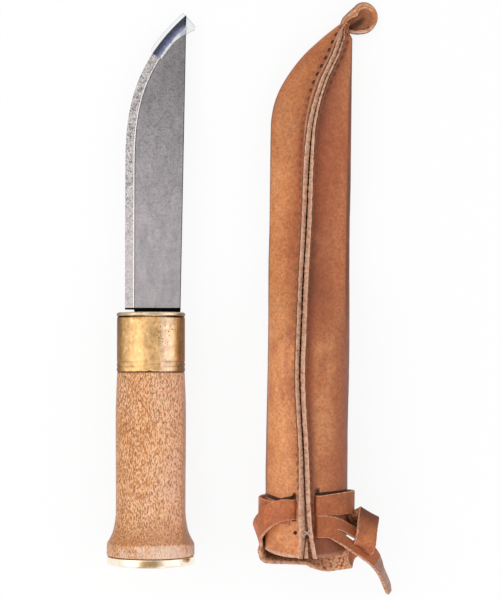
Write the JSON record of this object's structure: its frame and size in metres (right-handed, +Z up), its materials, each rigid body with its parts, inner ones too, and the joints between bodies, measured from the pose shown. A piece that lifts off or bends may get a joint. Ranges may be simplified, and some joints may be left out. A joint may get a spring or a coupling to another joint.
{
  "type": "puukko knife",
  "caption": "Northern puukko knife with a flared wooden grip, brass ferrule and butt cap and a clear tip guard, lying beside its folded leather sheath with a raised back seam and a tied strap.",
  "frame": {"origin": "middle of the set's footprint, on the surface that the knife and the sheath lie on", "axes": "+Y along knife and sheath toward their tips, +X from the knife to the sheath, +Z up from the surface"},
  "size_m": [0.122, 0.2542, 0.034],
  "materials": {
    "steel": "satin",
    "ferrule_brass": "worn satin",
    "cap_brass": "polished",
    "birch": "oiled",
    "clear_plastic": "clear",
    "leather": "matt",
    "strap_leather": "matt",
    "thread": "waxed",
    "liner_plastic": "matt"
  },
  "bodies": {
    "sheath": {"sheath_leather": "leather", "seam_thread": "thread", "blade_liner": "liner_plastic", "choke_band": "strap_leather", "belt_loop": "strap_leather", "tie_end": "strap_leather"},
    "knife": {"blade": "steel", "ferrule_plate": "ferrule_brass", "ferrule_sleeve": "ferrule_brass", "handle": "birch", "butt_cap": "cap_brass"},
    "guard": {"tip_guard": "clear_plastic"}
  },
  "joints": [
    {"name": "knife_lift", "type": "slide", "parent": "sheath", "child": "knife", "axis": [0, 0, 1], "range_m": [0, 0.1]},
    {"name": "tip_guard_pull", "type": "slide", "parent": "knife", "child": "guard", "axis": [0, 0.9992, -0.0409], "range_m": [0, 0.03]}
  ]
}
